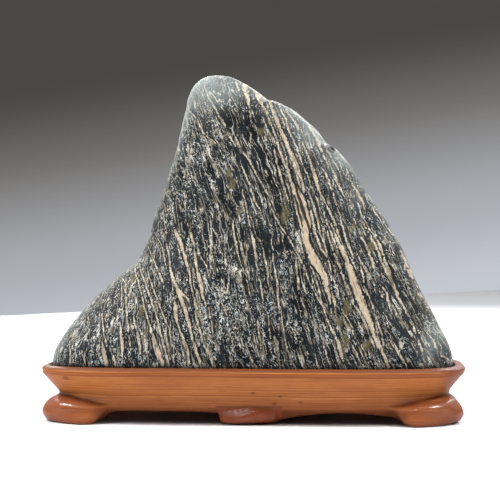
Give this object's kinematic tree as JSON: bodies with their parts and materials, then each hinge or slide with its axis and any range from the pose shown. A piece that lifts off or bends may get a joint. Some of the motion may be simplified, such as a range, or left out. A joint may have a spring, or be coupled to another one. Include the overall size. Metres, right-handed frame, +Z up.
{
  "type": "scholar stone on stand",
  "caption": "Mountain-shaped natural stone with pale veins, standing in a fitted carved wooden stand with bun feet and arched aprons.",
  "frame": {"origin": "on the floor, under the middle of the stand's outline", "axes": "+Z up, +X along the long side towards the gentle slope of the stone, front facing -Y"},
  "size_m": [0.2358, 0.114, 0.1945],
  "materials": {
    "stone": "satin, natural, with cream veins",
    "wood": "satin varnish"
  },
  "bodies": {
    "root": {"stone": "stone", "stand": "wood"}
  },
  "joints": []
}
